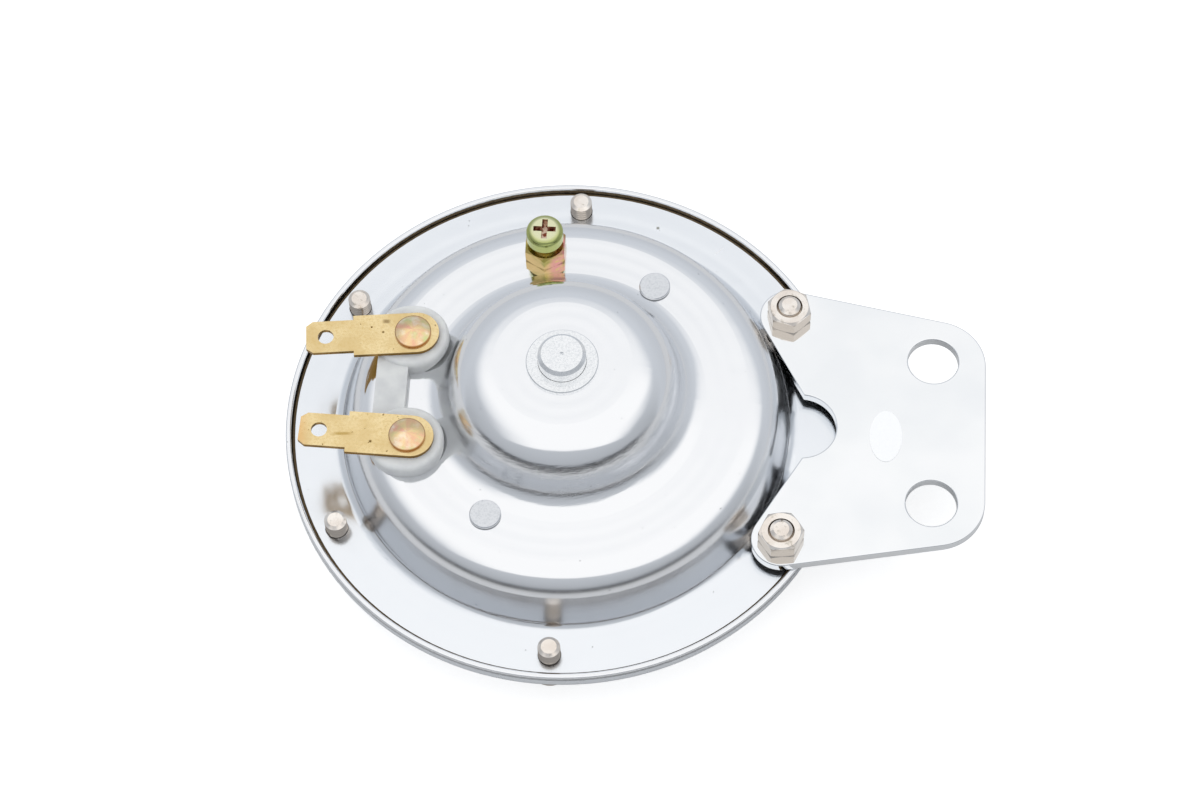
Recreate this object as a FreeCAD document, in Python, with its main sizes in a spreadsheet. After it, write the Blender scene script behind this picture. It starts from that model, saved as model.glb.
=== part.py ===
"""Six volt disc horn, seen from the back: pressed steel housing, bracket, terminals, breaker and coil.

Millimetres. The axis of the horn is Z. The rest face at the front is Z = 0 and the back points to +Z.
The bracket points to +X and the two flat terminals to -X.
"""
import FreeCAD, Part
import math
import os
import re
import Sketcher
from FreeCAD import Vector

# Driving sizes: name, value, what it is. Heights named _height are above the flange's back face.
SIZES = [
    ("flange_level", 10.0, "flange back face above the front rest face"),
    ("sheet_wall", 1.0, "steel sheet of the housing and the cover"),
    ("flange_radius", 48.4, "rim of the housing"),
    ("foot_inset", 8.5, "from the rim in to the corner between flange and outer wall"),
    ("foot_bend", 2.0, "bend at that corner"),
    ("wall_lean", 3.4, "how far the outer wall leans in up to the plateau"),
    ("shoulder_bend", 5.5, "bend at that corner"),
    ("plateau_height", 11.0, "flat ring round the dome"),
    ("plateau_width", 15.3, "from the outer wall in to the corner at the dome's foot"),
    ("dome_foot_bend", 4.8, "bend at that corner"),
    ("dome_lean", 2.75, "how far the dome's wall leans in up to its top"),
    ("dome_top_bend", 8.0, "bend at that corner"),
    ("dome_height", 22.6, "flat top of the dome"),
    ("rim_gap", 0.6, "between the housing's rim and the cover's lip"),
    ("lip_height", 1.3, "lip above the flange"),
    ("cover_bend", 2.4, "bend from the lip to the land"),
    ("lip_edge", 0.3, "rounding of the lip's two edges"),
    ("land_drop", 3.3, "front side of the land below the flange"),
    ("land_inset", 7.9, "from the rim in to the inside of the cover's land"),
    ("step_bend", 1.5, "bend inside the land"),
    ("step_lean", 2.5, "how far the step leans in down to the front bead"),
    ("face_bend", 2.0, "bend at the front bead"),
    ("bead_width", 3.5, "front bead"),
    ("grille_level", 1.5, "slotted disc above the rest face"),
    ("boss_radius", 12.0, "flat boss in the middle of the front"),
    ("boss_foot_radius", 14.0, "foot of the boss"),
    ("slot_near_radius", 17.5, "inner end of a slot, at its centre"),
    ("slot_inset", 4.0, "from the front bead in to the outer end of a slot, at its centre"),
    ("slot_half_width", 1.4, "half the width of a slot"),
    ("slot_number", 20, "slots round the front"),
    ("gasket_thickness", 0.5, "each of the two fibre gaskets"),
    ("gasket_curl", 0.06, "how far the gasket's turned-up edge stays below the flange's back face"),
    ("diaphragm_thickness", 0.3, "spring steel diaphragm"),
    ("screw_inset", 3.4, "from the rim in to the circle of screws"),
    ("screw_radius", 1.97, "M4 shank"),
    ("screw_hole_radius", 2.05, "holes in the sheets"),
    ("loose_hole_radius", 2.25, "holes in the gaskets and the bracket"),
    ("thread_pitch", 0.7, "coarse M4 pitch"),
    ("thread_depth", 0.34, "depth of the visible grooves"),
    ("tip_chamfer", 0.6, "lead-in of a screw's tip, measured inwards"),
    ("tip_height_lost", 0.4, "the same, measured along the screw"),
    ("tip_height", 3.4, "tips of the four cover screws"),
    ("stud_height", 7.3, "tips of the two bracket screws"),
    ("head_radius", 3.6, "screw heads at the front"),
    ("head_thickness", 2.6, "screw heads at the front"),
    ("nut_across", 7.0, "M4 nut across flats"),
    ("nut_chamfer", 0.45, "corner chamfer of a nut"),
    ("nut_thickness", 3.2, "M4 nut"),
    ("nut_bore", 2.04, "thread bore of the nuts"),
    ("upper_nut_corner", -15.6, "turn of the bracket nut at 30 degrees"),
    ("lower_nut_corner", 6.4, "turn of the bracket nut at 330 degrees"),
    ("spacer_radius", 3.5, "spacers under the bracket"),
    ("bracket_base_height", 1.4, "underside of the bracket"),
    ("bracket_thickness", 2.0, "bracket plate"),
    ("bracket_taper", 10.8, "slope of the long edges"),
    ("lobe_radius", 5.2, "lobes round the two bracket screws"),
    ("lobe_inner_angle", 209.6, "direction that the inner edge faces"),
    ("bracket_length", 35.43, "from the bracket screws to the far edge"),
    ("bracket_corner", 9.0, "rounding of the far corners"),
    ("bracket_edge", 0.25, "rounding along the plate's edges"),
    ("notch_offset", 2.83, "from the bracket screws to the middle of the notch"),
    ("notch_radius", 6.3, "notch towards the housing"),
    ("notch_corner_offset", 3.33, "from the bracket screws to the corner beside the notch"),
    ("notch_corner_y", 6.1, "corner beside the notch"),
    ("mount_hole_offset", 26.03, "from the bracket screws to the mounting holes"),
    ("mount_hole_y", 14.25, "two mounting holes, from the middle"),
    ("mount_hole_radius", 4.5, "two mounting holes"),
    ("label_offset", 17.83, "from the bracket screws to the label"),
    ("label_y", -1.45, "plain oval label"),
    ("label_long_radius", 5.05, "half the label's length"),
    ("label_short_radius", 2.85, "half the label's width"),
    ("label_thickness", 0.1, "plain oval label"),
    ("washer_radius", 6.3, "washer on the dome"),
    ("washer_thickness", 0.6, "washer on the dome"),
    ("spigot_radius", 4.2, "riveted end of the pole core"),
    ("spigot_height", 25.8, "end of the pole core"),
    ("core_radius", 6.5, "pole core inside the coil"),
    ("core_height", 12.0, "lower end of the pole core"),
    ("air_gap", 0.6, "between pole core and armature"),
    ("armature_radius", 6.3, "armature inside the coil"),
    ("collar_radius", 9.5, "collar that lifts the breaker"),
    ("collar_height", 8.8, "upper side of the collar"),
    ("collar_thickness", 1.2, "collar"),
    ("stem_radius", 3.0, "threaded stem of the armature"),
    ("stem_drop", 8.0, "end of the stem below the flange"),
    ("disc_drop", 4.0, "upper side of the tone disc below the flange"),
    ("disc_thickness", 0.8, "tone disc"),
    ("disc_clearance", 3.0, "from the front bead in to the rim of the tone disc"),
    ("disc_hub_radius", 14.0, "flat hub of the tone disc"),
    ("disc_dish", 0.7, "how far the rim of the tone disc lies lower"),
    ("spacer_hub_radius", 7.0, "spacer between diaphragm and tone disc"),
    ("stem_nut_across", 10.0, "nut on the stem"),
    ("stem_nut_thickness", 2.5, "nut on the stem"),
    ("bobbin_bore", 6.8, "bore of the coil former"),
    ("bobbin_tube", 8.0, "outside of the former's tube"),
    ("bobbin_clearance", 4.3, "from the dome's wall in to the flanges of the former"),
    ("bobbin_flange", 1.0, "flanges of the former"),
    ("bobbin_base_height", 10.3, "lower side of the former"),
    ("bobbin_top_height", 20.6, "upper side of the former"),
    ("winding_inset", 0.8, "from the flanges in to the copper winding"),
    ("terminal_inset", 7.7, "from the outer wall in to the terminal rivets"),
    ("upper_rivet_angle", 161.0, "place of the upper terminal rivet round the axis"),
    ("lower_rivet_angle", 203.0, "place of the lower terminal rivet round the axis"),
    ("lug_radius", 6.3, "ends of the terminal block"),
    ("lug_stretch", 0.7, "how much longer than round an end is"),
    ("block_thickness", 2.8, "ends of the terminal block"),
    ("block_round", 0.9, "soft upper edges of the block"),
    ("bar_thickness", 2.3, "bar between the two ends"),
    ("relief_width", 4.0, "underside of the block cut away over the bend at the dome's foot"),
    ("relief_height", 1.7, "the same, upwards"),
    ("bar_reach_out", 5.9, "bar beyond the rivets"),
    ("bar_reach_in", 0.4, "bar short of the rivets"),
    ("blade_thickness", 0.8, "flat terminals"),
    ("blade_half_width", 4.0, "wide part of a flat terminal"),
    ("blade_end_shift", 0.6, "centre of the round end behind the rivet"),
    ("blade_step", 10.5, "end of the wide part from the rivet"),
    ("tab_half_width", 3.15, "6.3 mm plug tab"),
    ("tab_hole", 15.43, "hole in the tab from the rivet"),
    ("tab_hole_radius", 1.4, "hole in the tab"),
    ("tab_length", 18.88, "tip of the tab from the rivet"),
    ("tab_chamfer_long", 1.2, "tip chamfer along the tab"),
    ("tab_chamfer_wide", 0.9, "tip chamfer across the tab"),
    ("upper_blade_angle", 186.0, "direction of the upper terminal"),
    ("lower_blade_angle", 178.2, "direction of the lower terminal"),
    ("rivet_head_radius", 3.2, "domed terminal rivets"),
    ("rivet_dome", 0.75, "height of the dome"),
    ("rivet_rim", 0.45, "straight rim under the dome"),
    ("rivet_shank_radius", 1.6, "rivet shanks"),
    ("rivet_hole_radius", 1.65, "holes for the rivets"),
    ("collar_bush_radius", 2.6, "insulating bush through the housing"),
    ("bush_hole_radius", 2.7, "hole in the housing for the bush"),
    ("insulator_thickness", 1.0, "inner insulator"),
    ("tag_thickness", 0.8, "solder tags inside"),
    ("adjuster_inset", 6.75, "from the outer wall in to the adjusting screw"),
    ("adjuster_angle", 100.0, "place of the adjusting screw round the axis"),
    ("adjuster_head_radius", 3.3, "adjusting screw head"),
    ("adjuster_head_height", 15.9, "underside of that head"),
    ("adjuster_top_height", 18.8, "top of that head"),
    ("adjuster_edge", 1.1, "rounding of that head"),
    ("recess_half_length", 2.0, "arms of the cross recess"),
    ("recess_half_width", 0.5, "arms of the cross recess"),
    ("recess_depth", 1.5, "cross recess"),
    ("flat_rivet_inset", 9.4, "from the outer wall in to the flat rivets"),
    ("breaker_rivet_angle", 57.0, "place of the rivet that holds the breaker"),
    ("clip_rivet_angle", 243.5, "place of the rivet that holds the resistor clip"),
    ("flat_rivet_radius", 2.75, "flat rivet heads on the plateau"),
    ("flat_rivet_height", 0.6, "flat rivet heads on the plateau"),
    ("breaker_angle", 161.7, "direction of the breaker leaves"),
    ("thin_insulator", 0.6, "upper and lower breaker insulator"),
    ("moving_leaf", 0.3, "thickness of the moving leaf"),
    ("middle_insulator", 1.0, "insulator between the leaves"),
    ("fixed_leaf", 0.5, "thickness of the fixed leaf"),
    ("leaf_half_width", 3.5, "half the width of the leaves"),
    ("contact_reach", 13.5, "contact points from the rivet"),
    ("contact_radius", 1.5, "contact points"),
    ("tongue_place", 6.9, "tongue of the moving leaf from the rivet"),
    ("tongue_length", 18.4, "tongue of the moving leaf"),
    ("clip_angle", 63.5, "direction from the clip rivet to the axis"),
    ("clip_thickness", 0.6, "resistor clip"),
    ("clip_half_width", 3.5, "resistor clip"),
    ("loop_place", 6.2, "loop of the clip from its rivet"),
    ("resistor_radius", 2.6, "spark resistor"),
    ("resistor_half_length", 8.0, "spark resistor"),
]

# Places and levels worked out from the sizes above. Levels are measured from the front rest face.
LEVELS = [
    ("foot_radius", "flange_radius - foot_inset"),
    ("shoulder_radius", "foot_radius - wall_lean"),
    ("dome_foot_radius", "shoulder_radius - plateau_width"),
    ("dome_top_radius", "dome_foot_radius - dome_lean"),
    ("cover_radius", "flange_radius + rim_gap + sheet_wall"),
    ("step_radius", "flange_radius - land_inset"),
    ("face_radius", "step_radius - step_lean"),
    ("bead_radius", "face_radius - bead_width"),
    ("screw_circle", "flange_radius - screw_inset"),
    ("upper_gasket_radius", "flange_radius + rim_gap - 0.14"),
    ("lower_gasket_radius", "cover_radius - cover_bend - 0.1"),
    ("diaphragm_radius", "flange_radius + 0.15"),
    ("gasket_bore", "foot_radius + foot_bend - 0.7"),
    ("disc_radius", "face_radius - disc_clearance"),
    ("slot_far_radius", "bead_radius - slot_inset"),
    ("bobbin_radius", "dome_top_radius - bobbin_clearance"),
    ("winding_radius", "bobbin_radius - winding_inset"),
    ("insulator_radius", "terminal_inset - shoulder_bend*0.75"),
    ("tag_radius", "insulator_radius - 0.25"),
    ("terminal_circle", "shoulder_radius - terminal_inset"),
    ("upper_rivet_x", "terminal_circle*cos(upper_rivet_angle)"),
    ("upper_rivet_y", "terminal_circle*sin(upper_rivet_angle)"),
    ("lower_rivet_x", "terminal_circle*cos(lower_rivet_angle)"),
    ("lower_rivet_y", "terminal_circle*sin(lower_rivet_angle)"),
    ("bar_left", "upper_rivet_x - bar_reach_out"),
    ("bar_right", "upper_rivet_x - bar_reach_in"),
    ("adjuster_circle", "shoulder_radius - adjuster_inset"),
    ("adjuster_x", "adjuster_circle*cos(adjuster_angle)"),
    ("adjuster_y", "adjuster_circle*sin(adjuster_angle)"),
    ("flat_rivet_circle", "shoulder_radius - flat_rivet_inset"),
    ("breaker_rivet_x", "flat_rivet_circle*cos(breaker_rivet_angle)"),
    ("breaker_rivet_y", "flat_rivet_circle*sin(breaker_rivet_angle)"),
    ("clip_rivet_x", "flat_rivet_circle*cos(clip_rivet_angle)"),
    ("clip_rivet_y", "flat_rivet_circle*sin(clip_rivet_angle)"),
    ("breaker_dx", "adjuster_x - breaker_rivet_x"),
    ("breaker_dy", "adjuster_y - breaker_rivet_y"),
    ("breaker_reach", "sqrt(breaker_dx*breaker_dx + breaker_dy*breaker_dy)"),
    ("sheet_level", "flange_level - sheet_wall"),
    ("plateau_level", "flange_level + plateau_height"),
    ("inside_level", "plateau_level - sheet_wall"),
    ("dome_level", "flange_level + dome_height"),
    ("ceiling_level", "dome_level - sheet_wall"),
    ("lip_level", "flange_level + lip_height"),
    ("land_level", "flange_level - land_drop"),
    ("diaphragm_level", "sheet_level - gasket_thickness"),
    ("under_level", "diaphragm_level - diaphragm_thickness"),
    ("disc_level", "flange_level - disc_drop"),
    ("bracket_level", "flange_level + bracket_base_height"),
    ("plate_level", "bracket_level + bracket_thickness"),
    ("stud_x", "screw_circle*cos(30)"),
    ("stud_y", "screw_circle*sin(30)"),
    ("bracket_reach", "stud_x + bracket_length"),
    ("notch_centre_x", "stud_x + notch_offset"),
    ("notch_corner_x", "stud_x + notch_corner_offset"),
    ("mount_hole_x", "stud_x + mount_hole_offset"),
    ("label_x", "stud_x + label_offset"),
    ("lobe_half_turn", "(lobe_inner_angle - 90 + bracket_taper)/2"),
    ("lobe_reach", "lobe_radius/cos(lobe_half_turn)"),
    ("lobe_direction", "(lobe_inner_angle + 90 - bracket_taper)/2"),
    ("lobe_x", "stud_x + lobe_reach*cos(lobe_direction)"),
    ("lobe_y", "stud_y + lobe_reach*sin(lobe_direction)"),
    ("far_y", "stud_y + (lobe_radius - sin(bracket_taper)*(bracket_reach - stud_x))/cos(bracket_taper)"),
    ("block_level", "plateau_level + block_thickness"),
    ("blade_level", "block_level + blade_thickness"),
    ("insulator_level", "inside_level - insulator_thickness"),
    ("tag_level", "insulator_level - tag_thickness"),
    ("moving_top", "inside_level - thin_insulator"),
    ("moving_base", "moving_top - moving_leaf"),
    ("fixed_top", "moving_base - middle_insulator"),
    ("fixed_base", "fixed_top - fixed_leaf"),
    ("stack_base", "fixed_base - thin_insulator"),
    ("contact_level", "(moving_base + fixed_top)/2"),
    ("nut_top_level", "plateau_level + nut_thickness"),
    ("loop_level", "inside_level - clip_thickness - resistor_radius"),
]

PLANES = {"top": "XY_Plane", "side": "XZ_Plane"}

document = FreeCAD.newDocument("disc_horn")
sheet = document.addObject("Spreadsheet::Sheet", "Sizes")
nodes = []


def fill_sheet():
    """Writes each driving size and each level into its own named cell."""
    for row, (name, value, note) in enumerate(SIZES, start=1):
        sheet.set("A%d" % row, note)
        sheet.set("B%d" % row, str(value))
        sheet.setAlias("B%d" % row, name)
    for row, (name, formula) in enumerate(LEVELS, start=len(SIZES) + 1):
        sheet.set("B%d" % row, "=" + formula)
        sheet.setAlias("B%d" % row, name)
    sheet.recompute()


def bound(formula):
    """The formula as the other objects must write it, with the sheet's name before each size."""
    return re.sub(r"\b([a-z]\w*)\b(?!\()", r"Sizes.\1", formula)


def number(formula):
    """Present value of a formula, worked out in a spare cell of the sheet."""
    sheet.set("D1", "=" + formula)
    sheet.recompute()
    return float(sheet.get("D1"))


def bind(thing, prop, formula):
    """Sets a property from a formula and keeps it bound to the sheet."""
    thing.setExpression(prop, bound(formula))


def new_body(label, place=None, turn=None):
    """A named sub-part, moved to a place in plan and turned about Z where that is asked for."""
    body = document.addObject("PartDesign::Body", label)
    body.Label = label
    body.Placement = FreeCAD.Placement(Vector(0, 0, 0), FreeCAD.Rotation(Vector(0, 0, 1), 0))
    if place:
        start = Vector(number(place[0]), number(place[1]), 0)
        spin = FreeCAD.Rotation(Vector(0, 0, 1), number(turn or "0"))
        body.Placement = FreeCAD.Placement(start, spin)
        bind(body, "Placement.Base.x", place[0])
        bind(body, "Placement.Base.y", place[1])
        if turn:
            bind(body, "Placement.Rotation.Angle", turn)
    nodes.append(body)
    return body


def origin_item(body, role):
    """One of the planes or axes that belong to a body."""
    return next(item for item in body.Origin.OriginFeatures if item.Role == role)


def new_sketch(body, name, plane, level="0", place=("0", "0")):
    """Sketch on a plane of the body, at a level above it or round another upright axis."""
    drawing = body.newObject("Sketcher::SketchObject", name)
    drawing.AttachmentSupport = (origin_item(body, PLANES[plane]), [""])
    drawing.MapMode = "FlatFace"
    if plane == "top":
        bind(drawing, "AttachmentOffset.Base.z", level)
    else:
        bind(drawing, "AttachmentOffset.Base.x", place[0])
        bind(drawing, "AttachmentOffset.Base.z", "-(" + place[1] + ")")
    return drawing


def pin(drawing, kind, item, point, formula):
    """One measure of a sketch, bound to the sheet."""
    if point:
        index = drawing.addConstraint(Sketcher.Constraint(kind, item, point, number(formula)))
    else:
        index = drawing.addConstraint(Sketcher.Constraint(kind, item, number(formula)))
    drawing.setExpression("Constraints[%d]" % index, bound(formula))


def arc_between(start, end, radius, turn):
    """Arc of up to half a circle from start to end, to the left for turn 1, to the right for -1."""
    half = (end - start) / 2
    left = Vector(-half.y, half.x, 0).normalize() * turn
    centre = start + half + left * math.sqrt(max(radius ** 2 - half.Length ** 2, 0.0))
    first, last = (start, end) if turn > 0 else (end, start)
    angles = [math.atan2(p.y - centre.y, p.x - centre.x) for p in (first, last)]
    if angles[1] < angles[0]:
        angles[1] += 2 * math.pi
    return Part.ArcOfCircle(Part.Circle(centre, Vector(0, 0, 1), radius), angles[0], angles[1])


def is_half_circle(arc):
    """Half circles stand on an upright chord here, so their centre is pinned and not their radius."""
    return abs(arc.LastParameter - arc.FirstParameter - math.pi) < 1e-6


def outline(drawing, corners):
    """Closed outline. A corner is (x, y), or (x, y, radius, turn) where an arc starts from it."""
    spots = [Vector(number(corner[0]), number(corner[1]), 0) for corner in corners]
    pieces = []
    for index, corner in enumerate(corners):
        start, end = spots[index], spots[(index + 1) % len(spots)]
        if len(corner) == 2:
            pieces.append((drawing.addGeometry(Part.LineSegment(start, end), False), 1, 2))
            continue
        arc = arc_between(start, end, number(corner[2]), corner[3])
        item = drawing.addGeometry(arc, False)
        pieces.append((item, 1, 2) if corner[3] > 0 else (item, 2, 1))
    for index, (item, start, end) in enumerate(pieces):
        after = pieces[(index + 1) % len(pieces)]
        drawing.addConstraint(Sketcher.Constraint("Coincident", item, end, after[0], after[1]))
    for (item, start, end), corner in zip(pieces, corners):
        pin(drawing, "DistanceX", item, start, corner[0])
        pin(drawing, "DistanceY", item, start, corner[1])
        if len(corner) == 2:
            continue
        if is_half_circle(drawing.Geometry[item]):
            pin(drawing, "DistanceX", item, 3, corner[0])
        else:
            pin(drawing, "Radius", item, None, corner[2])


def circle(drawing, x, y, radius):
    """Round outline."""
    spot = Vector(number(x), number(y), 0)
    item = drawing.addGeometry(Part.Circle(spot, Vector(0, 0, 1), number(radius)), False)
    pin(drawing, "DistanceX", item, 3, x)
    pin(drawing, "DistanceY", item, 3, y)
    pin(drawing, "Radius", item, None, radius)


def turned(body, name, corners, place=("0", "0"), cut=False):
    """Solid of revolution about an upright axis, or a turned cut."""
    drawing = new_sketch(body, name + "_profile", "side", place=place)
    outline(drawing, corners)
    feature = body.newObject("PartDesign::Groove" if cut else "PartDesign::Revolution", name)
    feature.Profile = drawing
    feature.ReferenceAxis = (drawing, ["V_Axis"])
    feature.Angle = 360
    body.Tip = feature
    return feature


def raised(body, name, drawing, height, both_ways=False):
    """Pad of a sketch."""
    feature = body.newObject("PartDesign::Pad", name)
    feature.Profile = drawing
    feature.SideType = "Symmetric" if both_ways else "One side"
    bind(feature, "Length", height)
    body.Tip = feature
    return feature


def cut(body, name, drawing, depth=None, upwards=False):
    """Pocket of a sketch, right through when no depth is given."""
    feature = body.newObject("PartDesign::Pocket", name)
    feature.Profile = drawing
    if depth:
        bind(feature, "Length", depth)
        feature.Reversed = upwards
    else:
        feature.Type = "ThroughAll"
        feature.SideType = "Symmetric"
    body.Tip = feature
    return feature


def plate(body, name, level, height, corners):
    """Flat plate with the given outline and its underside at a level."""
    drawing = new_sketch(body, name + "_outline", "top", level)
    outline(drawing, corners)
    return raised(body, name, drawing, height)


def disc(body, name, level, height, x, y, radius):
    """Round plate with its underside at a level."""
    drawing = new_sketch(body, name + "_outline", "top", level)
    circle(drawing, x, y, radius)
    return raised(body, name, drawing, height)


def hole(body, name, x, y, radius):
    """Round hole right through."""
    drawing = new_sketch(body, name + "_outline", "top")
    circle(drawing, x, y, radius)
    return cut(body, name, drawing)


def repeated(body, name, features, count, angle):
    """The features repeated about the axis over an angle."""
    feature = body.newObject("PartDesign::PolarPattern", name)
    feature.Originals = features
    feature.Axis = (origin_item(body, "Z_Axis"), [""])
    feature.Angle = angle
    bind(feature, "Occurrences", count)
    body.Tip = feature
    return feature


def rings(feature, radius, level):
    """Round edges of a feature with a radius at a level."""
    found = []
    for index, edge in enumerate(feature.Shape.Edges, start=1):
        curve = edge.Curve
        if not isinstance(curve, Part.Circle):
            continue
        if abs(curve.Radius - radius) < 1e-3 and abs(curve.Center.z - level) < 1e-3:
            found.append("Edge%d" % index)
    return found


def bend(body, name, radius, level, size):
    """Rounds the round edge that the last feature has at a radius and a level."""
    document.recompute()
    edges = rings(body.Tip, number(radius), number(level))
    return soften(body, name, edges, size)


def soften(body, name, edges, size):
    """Rounds the named edges of the last feature."""
    base = body.Tip
    feature = body.newObject("PartDesign::Fillet", name)
    feature.Base = (base, edges)
    bind(feature, "Radius", size)
    body.Tip = feature
    document.recompute()
    return feature


def level_edges(feature, level):
    """Edges that lie flat at a level."""
    found = []
    for index, edge in enumerate(feature.Shape.Edges, start=1):
        box = edge.BoundBox
        if abs(box.ZMin - level) < 1e-4 and abs(box.ZMax - level) < 1e-4:
            found.append("Edge%d" % index)
    return found


def hollow(body, name, open_level):
    """Turns a solid into sheet, open at the flat face that lies at a level."""
    document.recompute()
    base = body.Tip
    level = number(open_level)
    faces = []
    for index, face in enumerate(base.Shape.Faces, start=1):
        box = face.BoundBox
        if abs(box.ZMin - level) < 1e-4 and abs(box.ZMax - level) < 1e-4:
            faces.append("Face%d" % index)
    feature = body.newObject("PartDesign::Thickness", name)
    feature.Base = (base, faces)
    feature.Reversed = True
    bind(feature, "Value", "sheet_wall")
    body.Tip = feature
    document.recompute()
    return feature


def ring_of_holes(body, name, radius):
    """Six screw holes, the first one on the X side at 30 degrees."""
    first = hole(body, name, "stud_x", "stud_y", radius)
    return repeated(body, name + "_round", [first], "6", 360)


def threaded_rod(radius, top, low, turns):
    """Corners of a rod with a chamfered top and shallow thread grooves below it."""
    first = "%s - tip_height_lost" % top
    corners = [("0", low), ("0", top), ("%s - tip_chamfer" % radius, top), (radius, first)]
    for step in range(turns):
        corners.append(("%s - thread_depth" % radius, "%s - thread_pitch*%.1f" % (first, step + 0.5)))
        corners.append((radius, "%s - thread_pitch*%d" % (first, step + 1)))
    return corners


def cross_recess(body, name, x, y, level, upwards):
    """Cross recess of a screw head."""
    long, wide = "recess_half_length", "recess_half_width"
    steps = [(long, wide), (wide, wide), (wide, long)]
    corners = []
    for sign_x, sign_y, order in ((1, 1, 1), (-1, 1, -1), (-1, -1, 1), (1, -1, -1)):
        for along, across in steps[::order]:
            corners.append(("%s + %d*%s" % (x, sign_x, along), "%s + %d*%s" % (y, sign_y, across)))
    drawing = new_sketch(body, name + "_outline", "top", level)
    outline(drawing, corners)
    return cut(body, name, drawing, "recess_depth", upwards)


def hexagon(body, name, x, y, level, height, across, bore, corner):
    """Hexagon nut with chamfered corners and a countersunk bore."""
    corners = []
    for step in range(6):
        angle = "(%s + %d)" % (corner, 60 * step)
        reach = "%s/2/cos(30)" % across
        corners.append(("%s + %s*cos%s" % (x, reach, angle), "%s + %s*sin%s" % (y, reach, angle)))
    plate(body, name, level, height, corners)
    hole(body, name + "_bore", x, y, bore)
    out = "%s*0.62" % across
    flat = "%s*0.485" % across
    top = "%s + %s" % (level, height)
    ends = [("upper", top, -1), ("lower", level, 1)]
    for word, end, sign in ends:
        corner_cut = [(flat, end), (out, end), (out, "%s + %d*nut_chamfer*1.6" % (end, sign))]
        turned(body, "%s_%s_chamfer" % (name, word), corner_cut, (x, y), cut=True)
        sink = [("0", end), ("%s + 0.3" % bore, end), ("0", "%s + %d*(%s + 0.3)" % (end, sign, bore))]
        turned(body, "%s_%s_sink" % (name, word), sink, (x, y), cut=True)


def make_housing():
    """Pressed steel housing: flange, outer wall, plateau and dome, one sheet."""
    body = new_body("housing_shell")
    turned(body, "housing_form", [
        ("0", "dome_level"), ("dome_top_radius", "dome_level"), ("dome_foot_radius", "plateau_level"),
        ("shoulder_radius", "plateau_level"), ("foot_radius", "flange_level"),
        ("flange_radius", "flange_level"), ("flange_radius", "flange_level - 5"), ("0", "flange_level - 5"),
    ])
    bend(body, "dome_top_round", "dome_top_radius", "dome_level", "dome_top_bend")
    bend(body, "dome_foot_round", "dome_foot_radius", "plateau_level", "dome_foot_bend")
    bend(body, "shoulder_round", "shoulder_radius", "plateau_level", "shoulder_bend")
    bend(body, "foot_round", "foot_radius", "flange_level", "foot_bend")
    hollow(body, "housing_sheet", "flange_level - 5")
    under = new_sketch(body, "flange_underside", "top", "sheet_level")
    circle(under, "0", "0", "flange_radius + 5")
    cut(body, "flange_trim", under, "20")
    ring_of_holes(body, "flange_holes", "screw_hole_radius")
    hole(body, "core_hole", "0", "0", "spigot_radius + 0.05")
    hole(body, "upper_bush_hole", "upper_rivet_x", "upper_rivet_y", "bush_hole_radius")
    hole(body, "lower_bush_hole", "lower_rivet_x", "lower_rivet_y", "bush_hole_radius")
    hole(body, "adjuster_hole", "adjuster_x", "adjuster_y", "screw_hole_radius")
    hole(body, "breaker_rivet_hole", "breaker_rivet_x", "breaker_rivet_y", "rivet_hole_radius")
    hole(body, "clip_rivet_hole", "clip_rivet_x", "clip_rivet_y", "rivet_hole_radius")


def make_cover():
    """Pressed front cover with its lip round the housing's rim and the sound slots."""
    body = new_body("front_cover")
    turned(body, "cover_form", [
        ("0", "0"), ("boss_radius", "0"), ("boss_foot_radius", "grille_level"),
        ("bead_radius - 1.5", "grille_level"), ("bead_radius", "0"), ("face_radius", "0"),
        ("step_radius", "land_level"), ("cover_radius", "land_level"), ("cover_radius", "lip_level"),
        ("0", "lip_level"),
    ])
    bend(body, "face_round", "face_radius", "0", "face_bend")
    bend(body, "step_round", "step_radius", "land_level", "step_bend")
    bend(body, "lip_round", "cover_radius", "land_level", "cover_bend")
    hollow(body, "cover_sheet", "lip_level")
    bend(body, "lip_outer_edge", "cover_radius", "lip_level", "lip_edge")
    bend(body, "lip_inner_edge", "cover_radius - sheet_wall", "lip_level", "lip_edge")
    ring_of_holes(body, "cover_holes", "screw_hole_radius")
    slot = new_sketch(body, "slot_outline", "top")
    outline(slot, [
        ("slot_near_radius", "-slot_half_width"), ("slot_far_radius", "-slot_half_width", "slot_half_width", 1),
        ("slot_far_radius", "slot_half_width"), ("slot_near_radius", "slot_half_width", "slot_half_width", 1),
    ])
    first = cut(body, "slot", slot)
    repeated(body, "slots", [first], "slot_number", 360)


def make_seals():
    """The two fibre gaskets and the diaphragm that they clamp."""
    for label, level, rim in (("housing_gasket", "diaphragm_level", "upper_gasket_radius"),
                              ("front_gasket", "under_level - gasket_thickness", "lower_gasket_radius")):
        body = new_body(label)
        drawing = new_sketch(body, label + "_ring", "top", level)
        circle(drawing, "0", "0", rim)
        circle(drawing, "0", "0", "gasket_bore")
        raised(body, label + "_sheet", drawing, "gasket_thickness")
        ring_of_holes(body, label + "_holes", "loose_hole_radius")
    body = nodes[-2]
    inner = "flange_radius + 0.06"
    turned(body, "gasket_edge", [
        (inner, "diaphragm_level"), ("upper_gasket_radius", "diaphragm_level"),
        ("upper_gasket_radius", "flange_level - gasket_curl - 0.1"),
        ("upper_gasket_radius - 0.1", "flange_level - gasket_curl"), (inner, "flange_level - gasket_curl"),
    ])
    body = new_body("diaphragm")
    drawing = new_sketch(body, "diaphragm_ring", "top", "under_level")
    circle(drawing, "0", "0", "diaphragm_radius")
    circle(drawing, "0", "0", "stem_radius + 0.05")
    raised(body, "diaphragm_sheet", drawing, "diaphragm_thickness")
    ring_of_holes(body, "diaphragm_holes", "loose_hole_radius")


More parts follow.
